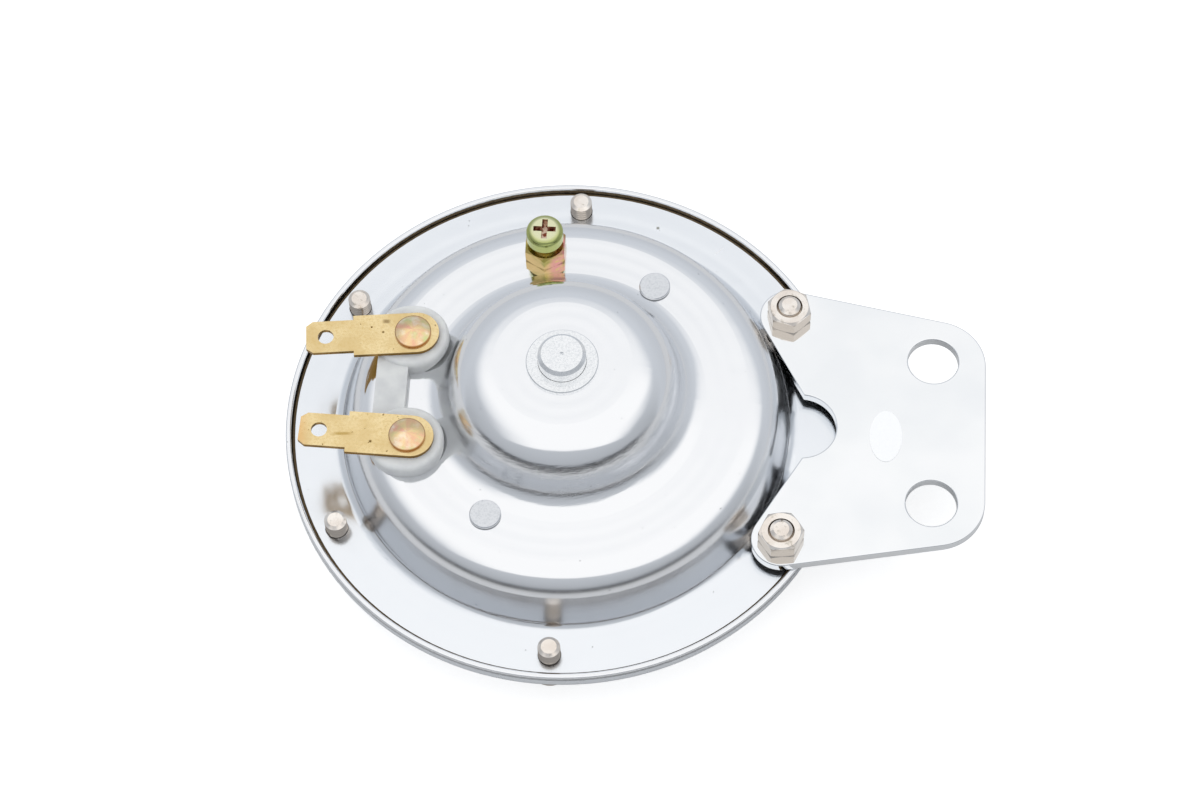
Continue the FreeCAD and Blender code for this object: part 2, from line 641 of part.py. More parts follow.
def make_screws():
    """Four cover screws and the two longer ones that carry the bracket."""
    groups = [("cover_screws", "tip_height", 4, 90, "4", 180), ("bracket_screws", "stud_height", 9, -30, "2", 60)]
    for label, height, turns, start, count, angle in groups:
        body = new_body(label)
        x, y = "screw_circle*cos(%d)" % start, "screw_circle*sin(%d)" % start
        head = "(land_level - head_thickness)"
        rod = threaded_rod("screw_radius", "(flange_level + %s)" % height, head, turns)
        rod += [("screw_radius", "land_level"), ("head_radius", "land_level"),
                ("head_radius", head + " + 0.8"), ("head_radius - 0.9", head)]
        screw = turned(body, label + "_form", rod, (x, y))
        recess = cross_recess(body, label + "_recess", x, y, head, True)
        repeated(body, label + "_round", [screw, recess], count, angle)


def make_bracket():
    """Bracket plate with its spacers, nuts and the plain label."""
    body = new_body("mounting_bracket")
    plate(body, "bracket_plate", "bracket_level", "bracket_thickness", [
        ("lobe_x", "lobe_y"), ("notch_corner_x", "notch_corner_y"), ("notch_corner_x", "-notch_corner_y"),
        ("lobe_x", "-lobe_y"), ("bracket_reach", "-far_y"), ("bracket_reach", "far_y"),
    ])
    document.recompute()
    groups = [("lobe", "lobe_x", "lobe_radius"), ("far_corner", "bracket_reach", "bracket_corner")]
    for name, x, size in groups:
        edges = []
        for index, edge in enumerate(body.Tip.Shape.Edges, start=1):
            box = edge.BoundBox
            if box.ZLength > 1 and abs(box.XMin - number(x)) < 1e-3 and abs(box.XMax - number(x)) < 1e-3:
                edges.append("Edge%d" % index)
        soften(body, name + "_round", edges, size)
    hole(body, "notch", "notch_centre_x", "0", "notch_radius")
    for word, sign in (("upper", ""), ("lower", "-")):
        hole(body, word + "_stud_hole", "stud_x", sign + "stud_y", "loose_hole_radius")
        hole(body, word + "_mount_hole", "mount_hole_x", sign + "mount_hole_y", "mount_hole_radius")
    document.recompute()
    edges = level_edges(body.Tip, number("plate_level")) + level_edges(body.Tip, number("bracket_level"))
    soften(body, "bracket_edges", edges, "bracket_edge")

    body = new_body("bracket_spacers")
    for word, sign in (("upper", ""), ("lower", "-")):
        drawing = new_sketch(body, word + "_spacer_ring", "top", "flange_level")
        circle(drawing, "stud_x", sign + "stud_y", "spacer_radius")
        circle(drawing, "stud_x", sign + "stud_y", "loose_hole_radius")
        raised(body, word + "_spacer", drawing, "bracket_base_height")

    body = new_body("bracket_nuts")
    for word, sign in (("upper", ""), ("lower", "-")):
        hexagon(body, word + "_nut", "stud_x", sign + "stud_y", "plate_level", "nut_thickness",
                "nut_across", "nut_bore", word + "_nut_corner")

    oval = document.addObject("Part::Ellipse", "label_outline")
    bind(oval, "MajorRadius", "label_long_radius")
    bind(oval, "MinorRadius", "label_short_radius")
    label = document.addObject("Part::Extrusion", "rating_label")
    label.Base = oval
    label.DirMode = "Custom"
    label.Dir = Vector(0, 0, 1)
    label.Solid = True
    bind(label, "LengthFwd", "label_thickness")
    turn = FreeCAD.Rotation(Vector(0, 0, 1), 90)
    label.Placement = FreeCAD.Placement(Vector(0, 0, 0), turn)
    bind(label, "Placement.Base.x", "label_x")
    bind(label, "Placement.Base.y", "label_y")
    bind(label, "Placement.Base.z", "plate_level")
    nodes.append(label)


def make_magnet():
    """Pole core, its washer, the coil and its former."""
    body = new_body("pole_core")
    turned(body, "core_form", [
        ("0", "flange_level + core_height"), ("core_radius - 0.4", "flange_level + core_height"),
        ("core_radius", "flange_level + core_height + 0.4"), ("core_radius", "ceiling_level"),
        ("spigot_radius", "ceiling_level"), ("spigot_radius", "flange_level + spigot_height - 0.6"),
        ("spigot_radius - 0.6", "flange_level + spigot_height"), ("0.35", "flange_level + spigot_height"),
        ("0", "flange_level + spigot_height - 0.35"),
    ])
    body = new_body("pole_washer")
    turned(body, "washer_form", [
        ("spigot_radius + 0.05", "dome_level"), ("washer_radius", "dome_level"),
        ("washer_radius", "dome_level + washer_thickness - 0.15"),
        ("washer_radius - 0.15", "dome_level + washer_thickness"),
        ("spigot_radius + 0.05", "dome_level + washer_thickness"),
    ])
    base, top = "flange_level + bobbin_base_height", "flange_level + bobbin_top_height"
    body = new_body("coil_bobbin")
    turned(body, "bobbin_form", [
        ("bobbin_bore", base), ("bobbin_radius", base), ("bobbin_radius", base + " + bobbin_flange"),
        ("bobbin_tube", base + " + bobbin_flange"), ("bobbin_tube", top + " - bobbin_flange"),
        ("bobbin_radius", top + " - bobbin_flange"), ("bobbin_radius", top), ("bobbin_bore", top),
    ])
    body = new_body("coil_winding")
    low, high = base + " + bobbin_flange + 0.05", top + " - bobbin_flange - 0.05"
    turned(body, "winding_form", [
        ("bobbin_tube + 0.05", low), ("winding_radius", low), ("winding_radius", high),
        ("bobbin_tube + 0.05", high),
    ])


def make_armature():
    """What the magnet pulls: armature, spacer, tone disc and nut on one stem."""
    top = "flange_level + core_height - air_gap"
    collar = "flange_level + collar_height"
    body = new_body("armature")
    turned(body, "armature_form", [
        ("0", top), ("armature_radius - 0.4", top), ("armature_radius", top + " - 0.4"),
        ("armature_radius", collar), ("collar_radius", collar), ("collar_radius", collar + " - collar_thickness"),
        ("armature_radius", collar + " - collar_thickness"), ("armature_radius", "diaphragm_level"),
        ("stem_radius", "diaphragm_level"), ("stem_radius", "flange_level - stem_drop + 0.5"),
        ("stem_radius - 0.5", "flange_level - stem_drop"), ("0", "flange_level - stem_drop"),
    ])
    body = new_body("tone_disc_spacer")
    turned(body, "disc_spacer_form", [
        ("stem_radius + 0.05", "disc_level"), ("spacer_hub_radius", "disc_level"),
        ("spacer_hub_radius", "under_level"), ("stem_radius + 0.05", "under_level"),
    ])
    body = new_body("tone_disc")
    under = "disc_level - disc_thickness"
    turned(body, "disc_form", [
        ("stem_radius + 0.05", "disc_level"), ("disc_hub_radius", "disc_level"),
        ("disc_hub_radius + 2", "disc_level - disc_dish"), ("disc_radius - 1.5", "disc_level - disc_dish"),
        ("disc_radius", "disc_level - disc_dish + 0.5"), ("disc_radius", under + " - disc_dish + 0.5"),
        ("disc_radius - 1.5", under + " - disc_dish"), ("disc_hub_radius + 2", under + " - disc_dish"),
        ("disc_hub_radius", under), ("stem_radius + 0.05", under),
    ])
    body = new_body("armature_nut")
    hexagon(body, "stem_nut", "0", "0", "disc_level - disc_thickness - stem_nut_thickness",
            "stem_nut_thickness", "stem_nut_across", "stem_radius + 0.05", "0")


def make_terminals():
    """Terminal block, two flat terminals, their rivets and what holds them inside."""
    rivets = [("upper", "upper_rivet_x", "upper_rivet_y"), ("lower", "lower_rivet_x", "lower_rivet_y")]
    body = new_body("terminal_block")
    for word, x, y in rivets:
        left = "%s - lug_stretch" % x
        low, high = "%s - lug_radius" % y, "%s + lug_radius" % y
        plate(body, word + "_lug", "plateau_level", "block_thickness",
              [(left, low), (x, low, "lug_radius", 1), (x, high), (left, high, "lug_radius", 1)])
    document.recompute()
    soften(body, "block_rounds", level_edges(body.Tip, number("block_level")), "block_round")
    plate(body, "block_bar", "plateau_level", "bar_thickness", [
        ("bar_left", "lower_rivet_y"), ("bar_right", "lower_rivet_y"),
        ("bar_right", "upper_rivet_y"), ("bar_left", "upper_rivet_y"),
    ])
    start, inner = "dome_foot_radius + dome_foot_bend*0.85", "dome_foot_radius + dome_foot_bend*0.85 - relief_width"
    turned(body, "block_relief", [
        (start, "plateau_level"), (inner, "plateau_level + relief_height"), (inner, "plateau_level - 1"),
        (start, "plateau_level - 1"),
    ], cut=True)
    for word, x, y in rivets:
        hole(body, word + "_lug_hole", x, y, "rivet_hole_radius")

    for word, x, y in rivets:
        body = new_body("terminal_blade_" + word, (x, y), word + "_blade_angle")
        tip, side = "tab_length - tab_chamfer_long", "tab_half_width - tab_chamfer_wide"
        plate(body, word + "_blade_sheet", "block_level", "blade_thickness", [
            ("-blade_end_shift", "blade_half_width", "blade_half_width", 1), ("-blade_end_shift", "-blade_half_width"),
            ("blade_step", "-blade_half_width"), ("blade_step", "-tab_half_width"), (tip, "-tab_half_width"),
            ("tab_length", "-(%s)" % side), ("tab_length", side), (tip, "tab_half_width"),
            ("blade_step", "tab_half_width"), ("blade_step", "blade_half_width"),
        ])
        hole(body, word + "_blade_rivet_hole", "0", "0", "rivet_hole_radius")
        hole(body, word + "_tab_hole", "tab_hole", "0", "tab_hole_radius")

    body = new_body("terminal_rivets")
    rim = "(blade_level + rivet_rim)"
    ball = "(rivet_head_radius*rivet_head_radius + rivet_dome*rivet_dome)/(2*rivet_dome)"
    for word, x, y in rivets:
        turned(body, word + "_rivet", [
            ("0", "tag_level - 1.0"), ("rivet_shank_radius + 0.6", "tag_level - 1.0"),
            ("rivet_shank_radius + 1.2", "tag_level - 0.5"), ("rivet_shank_radius + 1.2", "tag_level"),
            ("rivet_shank_radius", "tag_level"), ("rivet_shank_radius", "blade_level"),
            ("rivet_head_radius", "blade_level"), ("rivet_head_radius", rim, ball, 1),
            ("0", rim + " + rivet_dome"),
        ], (x, y))

    body = new_body("inner_insulator")
    for word, x, y in rivets:
        disc(body, word + "_insulator", "insulator_level", "insulator_thickness", x, y, "insulator_radius")
    plate(body, "insulator_bar", "insulator_level", "insulator_thickness", [
        ("bar_left + 3", "lower_rivet_y"), ("bar_right + 3", "lower_rivet_y"),
        ("bar_right + 3", "upper_rivet_y"), ("bar_left + 3", "upper_rivet_y"),
    ])
    for word, x, y in rivets:
        disc(body, word + "_bush", "insulator_level", "insulator_thickness + sheet_wall", x, y, "collar_bush_radius")
        hole(body, word + "_bush_bore", x, y, "rivet_hole_radius")

    body = new_body("terminal_tags")
    for word, x, y in rivets:
        disc(body, word + "_tag", "tag_level", "tag_thickness", x, y, "tag_radius")
        sign = "-" if word == "upper" else "+"
        plate(body, word + "_tag_arm", "tag_level", "tag_thickness", [
            (x + " - 1.5", y), (x + " + 1.5", y), (x + " + 1.5", "%s %s 7" % (y, sign)),
            (x + " - 1.5", "%s %s 7" % (y, sign)),
        ][::1 if sign == "+" else -1])
        hole(body, word + "_tag_hole", x, y, "rivet_hole_radius")


def make_adjuster():
    """Adjusting screw and its lock nut."""
    place = ("adjuster_x", "adjuster_y")
    under, top = "(flange_level + adjuster_head_height)", "(flange_level + adjuster_top_height)"
    body = new_body("adjusting_screw")
    corners = [
        ("0", "fixed_top + 0.05"), ("screw_radius - 0.5", "fixed_top + 0.05"),
        ("screw_radius", "fixed_top + 0.55"), ("screw_radius", "nut_top_level - 0.3"),
    ]
    for step in range(3):
        corners.append(("screw_radius - thread_depth", "nut_top_level - 0.3 + thread_pitch*%.1f" % (step + 0.5)))
        corners.append(("screw_radius", "nut_top_level - 0.3 + thread_pitch*%d" % (step + 1)))
    corners += [
        ("screw_radius", under), ("adjuster_head_radius", under),
        ("adjuster_head_radius", top + " - adjuster_edge", "adjuster_edge", 1),
        ("adjuster_head_radius - adjuster_edge", top), ("0", top),
    ]
    turned(body, "adjuster_form", corners, place)
    cross_recess(body, "adjuster_recess", place[0], place[1], top, False)
    body = new_body("adjuster_lock_nut")
    hexagon(body, "lock_nut", place[0], place[1], "plateau_level", "nut_thickness", "nut_across", "nut_bore", "30")


def make_breaker():
    """Flat rivets, the breaker with its leaves and contact points, and the spark resistor."""
    body = new_body("plate_rivets")
    rivets = [("breaker", "stack_base"), ("clip", "inside_level - clip_thickness")]
    for word, tail in rivets:
        turned(body, word + "_rivet", [
            ("0", tail + " - 0.7"), ("rivet_shank_radius + 1.0", tail + " - 0.7"),
            ("rivet_shank_radius + 1.0", tail), ("rivet_shank_radius", tail),
            ("rivet_shank_radius", "plateau_level"), ("flat_rivet_radius", "plateau_level"),
            ("flat_rivet_radius", "plateau_level + flat_rivet_height - 0.15"),
            ("flat_rivet_radius - 0.15", "plateau_level + flat_rivet_height"),
            ("0", "plateau_level + flat_rivet_height"),
        ], (word + "_rivet_x", word + "_rivet_y"))

    place = ("breaker_rivet_x", "breaker_rivet_y")
    wide = "leaf_half_width"
    body = new_body("breaker_insulators", place, "breaker_angle")
    layers = [("upper", "moving_top", "thin_insulator"), ("middle", "fixed_top", "middle_insulator"),
              ("lower", "stack_base", "thin_insulator")]
    for word, level, height in layers:
        plate(body, word + "_layer", level, height, [
            ("-3.5", "-" + wide), ("3.5", "-" + wide), ("3.5", wide), ("-3.5", wide)])
    hole(body, "stack_hole", "0", "0", "rivet_hole_radius")

    body = new_body("moving_contact_leaf", place, "breaker_angle")
    plate(body, "moving_strip", "moving_base", "moving_leaf", [
        ("-3.5", "-" + wide), ("contact_reach + 2.2", "-" + wide), ("contact_reach + 2.2", "2.0"),
        ("tongue_place + 1.5", "2.0"), ("tongue_place + 1.5", "tongue_length"),
        ("tongue_place - 1.5", "tongue_length"), ("tongue_place - 1.5", wide), ("-3.5", wide),
    ])
    hole(body, "moving_hole", "0", "0", "rivet_hole_radius")
    body = new_body("fixed_contact_leaf", place, "breaker_angle")
    plate(body, "fixed_strip", "fixed_base", "fixed_leaf", [
        ("-3.5", "-" + wide), ("breaker_reach + 2.6", "-" + wide), ("breaker_reach + 2.6", wide), ("-3.5", wide)])
    hole(body, "fixed_hole", "0", "0", "rivet_hole_radius")
    points = [("moving_contact_point", "contact_level", "moving_base - contact_level"),
              ("fixed_contact_point", "fixed_top", "contact_level - fixed_top")]
    for label, level, height in points:
        body = new_body(label, place, "breaker_angle")
        disc(body, label + "_form", level, height, "contact_reach", "0", "contact_radius")

    place = ("clip_rivet_x", "clip_rivet_y")
    body = new_body("resistor_clip", place, "clip_angle")
    plate(body, "clip_strip", "inside_level - clip_thickness", "clip_thickness", [
        ("-3.5", "-clip_half_width"), ("loop_place", "-clip_half_width"),
        ("loop_place", "clip_half_width"), ("-3.5", "clip_half_width")])
    drawing = new_sketch(body, "loop_outline", "side")
    circle(drawing, "loop_place", "loop_level", "resistor_radius + clip_thickness")
    raised(body, "loop", drawing, "clip_half_width*2", both_ways=True)
    drawing = new_sketch(body, "loop_bore_outline", "side")
    circle(drawing, "loop_place", "loop_level", "resistor_radius + 0.03")
    cut(body, "loop_bore", drawing)
    hole(body, "clip_hole", "0", "0", "rivet_hole_radius")
    body = new_body("spark_resistor", place, "clip_angle")
    drawing = new_sketch(body, "resistor_outline", "side")
    circle(drawing, "loop_place", "loop_level", "resistor_radius")
    raised(body, "resistor_form", drawing, "resistor_half_length*2", both_ways=True)


def check_and_export():
    """Stops at any failed feature or bad shape, then writes one file for each sub-part."""
    document.recompute()
    for thing in document.Objects:
        if "Invalid" in thing.State or "Error" in thing.State:
            raise RuntimeError("%s is %s" % (thing.Label, thing.State))
        shape = getattr(thing, "Shape", None)
        if shape is not None and thing.TypeId.startswith(("Part", "Sketcher")):
            if shape.isNull() or not shape.isValid():
                raise RuntimeError("%s has no valid shape" % thing.Label)
    os.makedirs("parts", exist_ok=True)
    for node in nodes:
        node.Shape.exportStep("parts/%s.step" % node.Label)
        box = node.Shape.BoundBox
        print("%-22s %d solids %9.2f mm3 z %.2f to %.2f"
              % (node.Label, len(node.Shape.Solids), node.Shape.Volume, box.ZMin, box.ZMax))


fill_sheet()
make_housing()
make_cover()
make_seals()
make_screws()
make_bracket()
make_magnet()
make_armature()
make_terminals()
make_adjuster()
make_breaker()
check_and_export()
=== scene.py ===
"""Disc horn lying on its front: bright plated steel housing, chromed bracket, brass terminals."""
import math

import bpy
from mathutils import Matrix, Vector


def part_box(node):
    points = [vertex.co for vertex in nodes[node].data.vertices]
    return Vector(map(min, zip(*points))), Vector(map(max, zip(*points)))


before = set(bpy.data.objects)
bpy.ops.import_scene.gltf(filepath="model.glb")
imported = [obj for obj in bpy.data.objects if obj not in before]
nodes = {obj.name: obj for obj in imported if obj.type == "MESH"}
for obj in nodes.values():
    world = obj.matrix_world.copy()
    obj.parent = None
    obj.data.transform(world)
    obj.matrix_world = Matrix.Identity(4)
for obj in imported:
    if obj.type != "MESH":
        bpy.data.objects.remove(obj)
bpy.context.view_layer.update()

MM = 0.001
PER_METRE = 1000.0

# The photograph's view, found from the rim, the six screws and the bracket.
VIEW_AZIMUTH = math.radians(5.52)
VIEW_ELEVATION = math.radians(61.08)
VIEW_ROLL = math.radians(-2.45)
VIEW_DISTANCE = 592.8 * MM
VIEW_TARGET = Vector((6.29, -0.17, 20.08)) * MM
LENS_LENGTH = 101.17
SENSOR_WIDTH = 36.0

# Places and sizes in millimetres that the finishes are worked out from. Levels are above the floor.
FLANGE_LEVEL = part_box("bracket_spacers")[0].z * PER_METRE
PLATEAU_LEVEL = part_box("terminal_block")[0].z * PER_METRE
BRUSHED_TOP_LEVEL = PLATEAU_LEVEL + 9.2
BLADE_TOP_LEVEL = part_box("terminal_blade_upper")[1].z * PER_METRE
FLANGE_INSIDE = 41.5
LIP_INSIDE = 49.0
RIVET_HEAD = 3.2
ADJUSTER_HEAD = 3.1
RECESS_REACH = 2.15
THREAD_PITCH = 0.7
TIP_CHAMFER = 0.4
NUT_CHAMFER = 0.35

# How far the flange's near half drops for each millimetre outwards of FLANGE_INSIDE, in shading only.
FLANGE_SAG = 0.065
# Millimetres that one radian round the axis counts for in the dome's brushing.
BRUSHING_ROUND = 5.0

# Marks that the photographed horn has. Each is its middle, heading, length and width.
FLANGE_SPOT = ((14.3, 42.0), 0.0, 0.8, 0.8)
FLANGE_SCRATCH = ((25.8, 37.6), 45.0, 2.6, 0.3)
ORANGE_TIP = ((-47.2, -11.2), 4.0, 8.0, 12.0)
UPPER_SMUDGE = ((-32.1, 11.4), 0.0, 1.9, 1.2)
LOWER_RUB = ((-37.8, -11.4), 4.0, 5.0, 0.9)
LOWER_DOT = ((-32.8, -12.7), 0.0, 0.7, 0.7)
UPPER_DOT = ((-32.5, 9.2), 0.0, 0.6, 0.6)

# The light tent, which only mirrors see: the camera sees plain white, and other rays one even level.
# Edges of the panel overhead are sideways distance over height.
PANEL_NEAR = -0.86
PANEL_FAR = 1.12
PANEL_LEFT = -1.4
PANEL_RIGHT = 1.7
PANEL_STRENGTH = 1.05
WALL_STRENGTH = 0.50
HIGH_WALL_GAIN = 0.10
FAR_WALL_GAIN = 0.16
GAP_LOSS = 0.47
GAP_TOP = 0.25
OTHER_STRENGTH = 0.9
LOWEST_HEIGHT = 0.02

# In mirrors the floor darkens from this place towards the viewer, over this many millimetres.
FLOOR_END = -120.0
FLOOR_FADE = 180.0
FLOOR_GLOW = 0.7
FLOOR_GLOW_IN_MIRRORS = 0.08

SOFT_BOX_PLACE = Vector((-0.25, 0.35, 0.95))
SOFT_BOX_SIZE = 0.9
SOFT_BOX_WATTS = 2.2

# Stands for an end of a zone that is left open.
OPEN = 9999.0


def linear(hex_colour):
    """Linear RGBA of an sRGB colour written as six hex digits."""
    parts = [int(hex_colour[i:i + 2], 16) / 255 for i in (0, 2, 4)]
    return tuple(p / 12.92 if p <= 0.04045 else ((p + 0.055) / 1.055) ** 2.4 for p in parts) + (1.0,)


def add_node(owner, kind, inputs=None, output=0, **settings):
    """Adds a node to a material or the world. Each input is a value or the socket that feeds it."""
    tree = owner.node_tree
    node = tree.nodes.new(kind)
    for name, value in settings.items():
        setattr(node, name, value)
    for name, value in (inputs or {}).items():
        if isinstance(value, bpy.types.NodeSocket):
            tree.links.new(value, node.inputs[name])
        else:
            node.inputs[name].default_value = value
    return node.outputs[output] if node.outputs else None


def new_material(name):
    """Empty material and, in millimetres, the place on its surface."""
    material = bpy.data.materials.new(name)
    material.use_nodes = True
    material.node_tree.nodes.clear()
    metres = add_node(material, "ShaderNodeTexCoord", output="Object")
    scaled = {0: metres, "Scale": PER_METRE}
    return material, add_node(material, "ShaderNodeVectorMath", scaled, operation="SCALE")


def surface(material, inputs):
    """Ends a material: one shader with these inputs."""
    shader = add_node(material, "ShaderNodeBsdfPrincipled", inputs)
    add_node(material, "ShaderNodeOutputMaterial", {"Surface": shader})
    return material


def cloud(owner, place, size_mm, low, high, detail=3.0, grain=0.5):
    """Soft random patches about size_mm across: 0 where the noise is under low, 1 over high."""
    noise = {"Vector": place, "Scale": 1.0 / size_mm, "Detail": detail, "Roughness": grain}
    height = add_node(owner, "ShaderNodeTexNoise", noise)
    edges = {"Value": height, "From Min": low, "From Max": high}
    return add_node(owner, "ShaderNodeMapRange", edges, interpolation_type="SMOOTHSTEP")


def zone(owner, value, soft, start=-OPEN, end=OPEN):
    """1 where the value lies between start and end, with soft edges of that width inside them."""
    rise = {"Value": value, "From Min": start, "From Max": start + soft}
    fall = {"Value": value, "From Min": end - soft, "From Max": end, "To Min": 1.0, "To Max": 0.0}
    rise = add_node(owner, "ShaderNodeMapRange", rise, interpolation_type="SMOOTHSTEP")
    fall = add_node(owner, "ShaderNodeMapRange", fall, interpolation_type="SMOOTHSTEP")
    return add_node(owner, "ShaderNodeMath", {0: rise, 1: fall}, operation="MULTIPLY")


def out_from(owner, place, centre):
    """Way out in plan from an upright axis."""
    out = add_node(owner, "ShaderNodeVectorMath", {0: place, 1: (*centre, 0.0)}, operation="SUBTRACT")
    return add_node(owner, "ShaderNodeVectorMath", {0: out, 1: (1.0, 1.0, 0.0)}, operation="MULTIPLY")


def from_axis(owner, place, centre=(0.0, 0.0)):
    """Distance in plan from an upright axis, in millimetres."""
    flat = out_from(owner, place, centre)
    return add_node(owner, "ShaderNodeVectorMath", {0: flat}, "Value", operation="LENGTH")


def bearing(owner, place, centre=(0.0, 0.0)):
    """Point on a circle of one millimetre round an upright axis: the same along each ray from it."""
    flat = out_from(owner, place, centre)
    return add_node(owner, "ShaderNodeVectorMath", {0: flat}, operation="NORMALIZE")


def mark(owner, place, middle, heading, length, width):
    """1 on a small straight mark on a level face, with soft edges. Degrees from X, millimetres."""
    out = add_node(owner, "ShaderNodeVectorMath", {0: place, 1: (*middle, 0.0)}, operation="SUBTRACT")
    turn = math.radians(heading)
    lengthwise = (math.cos(turn), math.sin(turn), 0.0)
    sideways = (-math.sin(turn), math.cos(turn), 0.0)
    amount = 1.0
    for direction, size in ((lengthwise, length), (sideways, width)):
        inputs = {0: out, 1: direction}
        offset = add_node(owner, "ShaderNodeVectorMath", inputs, "Value", operation="DOT_PRODUCT")
        share = zone(owner, offset, size * 0.4, -size / 2, size / 2)
        amount = add_node(owner, "ShaderNodeMath", {0: share, 1: amount}, operation="MULTIPLY")
    return amount


def layered(owner, base, layers):
    """Base colour with others laid over it, each as far as its amount says."""
    colour = linear(base)
    for amount, cover in layers:
        inputs = {0: amount, 6: colour, 7: linear(cover)}
        colour = add_node(owner, "ShaderNodeMix", inputs, 2, data_type="RGBA")
    return colour


def total(owner, start, shares):
    """Start value plus each amount times its weight."""
    for weight, amount in shares:
        inputs = {0: amount, 1: weight, 2: start}
        start = add_node(owner, "ShaderNodeMath", inputs, operation="MULTIPLY_ADD")
    return start


def relief(owner, shares):
    """Surface direction over a fine relief. Each share is a depth in millimetres and its pattern."""
    return add_node(owner, "ShaderNodeBump", {"Height": total(owner, 0.0, shares), "Distance": MM})


def middle_of(name):
    """Middle in plan of a round piece, in millimetres."""
    low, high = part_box(name)
    return (low.x + high.x) / 2 * PER_METRE, (low.y + high.y) / 2 * PER_METRE


def bright_plated_steel():
    """Deep-drawn sheet steel, bright plated without polishing: a cool soft mirror with drawing marks.

    The flat ring is the smoothest. The flange is satin where the press held the sheet, and its near
    half sags outwards to 0.45 mm at the rim, which is given as shading only: the solid is level there.
    The dome is brushed round its axis; the real brushing is finer than 0.5 mm and is drawn that
    coarse to show. The outer wall and the cover's lip are a little duller, where the press drew and
    folded the sheet. The fine pits lie at random; the spot and the scratch lie as photographed.
    """
    steel, place = new_material("bright_plated_steel")
    level = add_node(steel, "ShaderNodeSeparateXYZ", {0: place}, "Z")
    across = add_node(steel, "ShaderNodeSeparateXYZ", {0: place}, "Y")
    reach = from_axis(steel, place)
    rings = add_node(steel, "ShaderNodeCombineXYZ", {"X": reach, "Y": level})
    brushing = add_node(steel, "ShaderNodeVectorMath", {
        0: bearing(steel, place), 1: (BRUSHING_ROUND,) * 3, 2: rings}, operation="MULTIPLY_ADD")
    flange = zone(steel, level, 0.8, end=FLANGE_LEVEL + 0.9)
    wall = zone(steel, level, 1.0, FLANGE_LEVEL + 0.8, PLATEAU_LEVEL - 0.6)
    dome = zone(steel, level, 1.8, PLATEAU_LEVEL + 0.2, BRUSHED_TOP_LEVEL)
    lip = zone(steel, reach, 0.2, start=LIP_INSIDE + 0.3)
    spot = mark(steel, place, *FLANGE_SPOT)
    scratch = mark(steel, place, *FLANGE_SCRATCH)
    pits = cloud(steel, place, 0.55, 0.79, 0.82, 1.0)
    streaks = cloud(steel, brushing, 0.5, 0.25, 0.75, 3.0, 0.6)
    brushed = add_node(steel, "ShaderNodeMath", {0: streaks, 1: dome}, operation="MULTIPLY")
    colour = layered(steel, "F4F5F7", [
        (flange, "EEF1F5"), (pits, "7A7C80"), (spot, "8C8C84"), (scratch, "FFFFFF"),
    ])
    rough = total(steel, 0.09, [
        (0.03, cloud(steel, place, 4.0, 0.3, 0.7, 3.0)), (0.09, flange), (0.08, dome),
        (0.09, brushed), (0.08, lip), (0.12, wall), (0.3, scratch),
    ])
    outwards = add_node(steel, "ShaderNodeMath", {0: reach, 1: FLANGE_INSIDE}, operation="SUBTRACT")
    near_half = zone(steel, across, 45.0, -90.0, 45.0)
    near = add_node(steel, "ShaderNodeMath", {0: near_half, 1: flange}, operation="MULTIPLY")
    sag = add_node(steel, "ShaderNodeMath", {0: outwards, 1: near}, operation="MULTIPLY")
    normal = relief(steel, [
        (0.019, brushed), (0.040, cloud(steel, rings, 3.4, 0.2, 0.8, 1.0)),
        (0.012, cloud(steel, place, 5.0, 0.2, 0.8, 1.0)), (-FLANGE_SAG, sag),
    ])
    return surface(steel, {
        "Metallic": 1.0, "Base Color": colour, "Roughness": rough, "Normal": normal,
    })


def polished_chrome():
    """Steel plate, buffed and chromed: a sharp mirror with very slight waves."""
    chrome, place = new_material("polished_chrome")
    colour = layered(chrome, "F8F9FA", [(cloud(chrome, place, 14.0, 0.3, 0.7, 2.0), "F1F3F5")])
    rough = total(chrome, 0.045, [(0.05, cloud(chrome, place, 3.0, 0.35, 0.75, 6.0, 0.7))])
    normal = relief(chrome, [(0.004, cloud(chrome, place, 4.0, 0.2, 0.8, 1.0))])
    return surface(chrome, {
        "Metallic": 1.0, "Base Color": colour, "Roughness": rough, "Normal": normal,
    })


def rolled_brass():
    """Stamped half-hard brass sheet: yellow metal, cloudy from handling, spotted, browner below its top
    face: painted shade.

    The marks are the photograph's: a smudge on the far blade, a rub and an orange tip on the near
    one, and a dark dot on each.
    """
    brass, place = new_material("rolled_brass")
    level = add_node(brass, "ShaderNodeSeparateXYZ", {0: place}, "Z")
    # Painted shade: browner on all brass below the upper blade's top face, edges and hole rims included.
    painted_shade_below_top = zone(brass, level, 0.05, end=BLADE_TOP_LEVEL - 0.03)
    hands = cloud(brass, place, 5.0, 0.30, 0.70, 2.0, 0.4)
    speckle = cloud(brass, place, 0.5, 0.35, 0.85, 4.0, 0.7)
    spots = cloud(brass, place, 0.7, 0.735, 0.77, 1.0)
    colour = layered(brass, "F6E0AE", [
        (hands, "EACF97"), (speckle, "E2C486"), (spots, "8A6830"),
        (mark(brass, place, *ORANGE_TIP), "EEC084"), (mark(brass, place, *UPPER_SMUDGE), "AC9468"),
        (mark(brass, place, *LOWER_RUB), "C8A968"), (mark(brass, place, *LOWER_DOT), "6E5426"),
        (mark(brass, place, *UPPER_DOT), "7A5E2C"), (painted_shade_below_top, "9C7838"),
    ])
    rough = total(brass, 0.20, [(0.10, hands), (0.06, speckle)])
    normal = relief(brass, [
        (0.002, cloud(brass, place, 0.5, 0.2, 0.8, 3.0, 0.6)),
        (0.012, cloud(brass, place, 3.5, 0.2, 0.8, 1.0)),
    ])
    return surface(brass, {
        "Metallic": 1.0, "Base Color": colour, "Roughness": rough, "Normal": normal,
    })


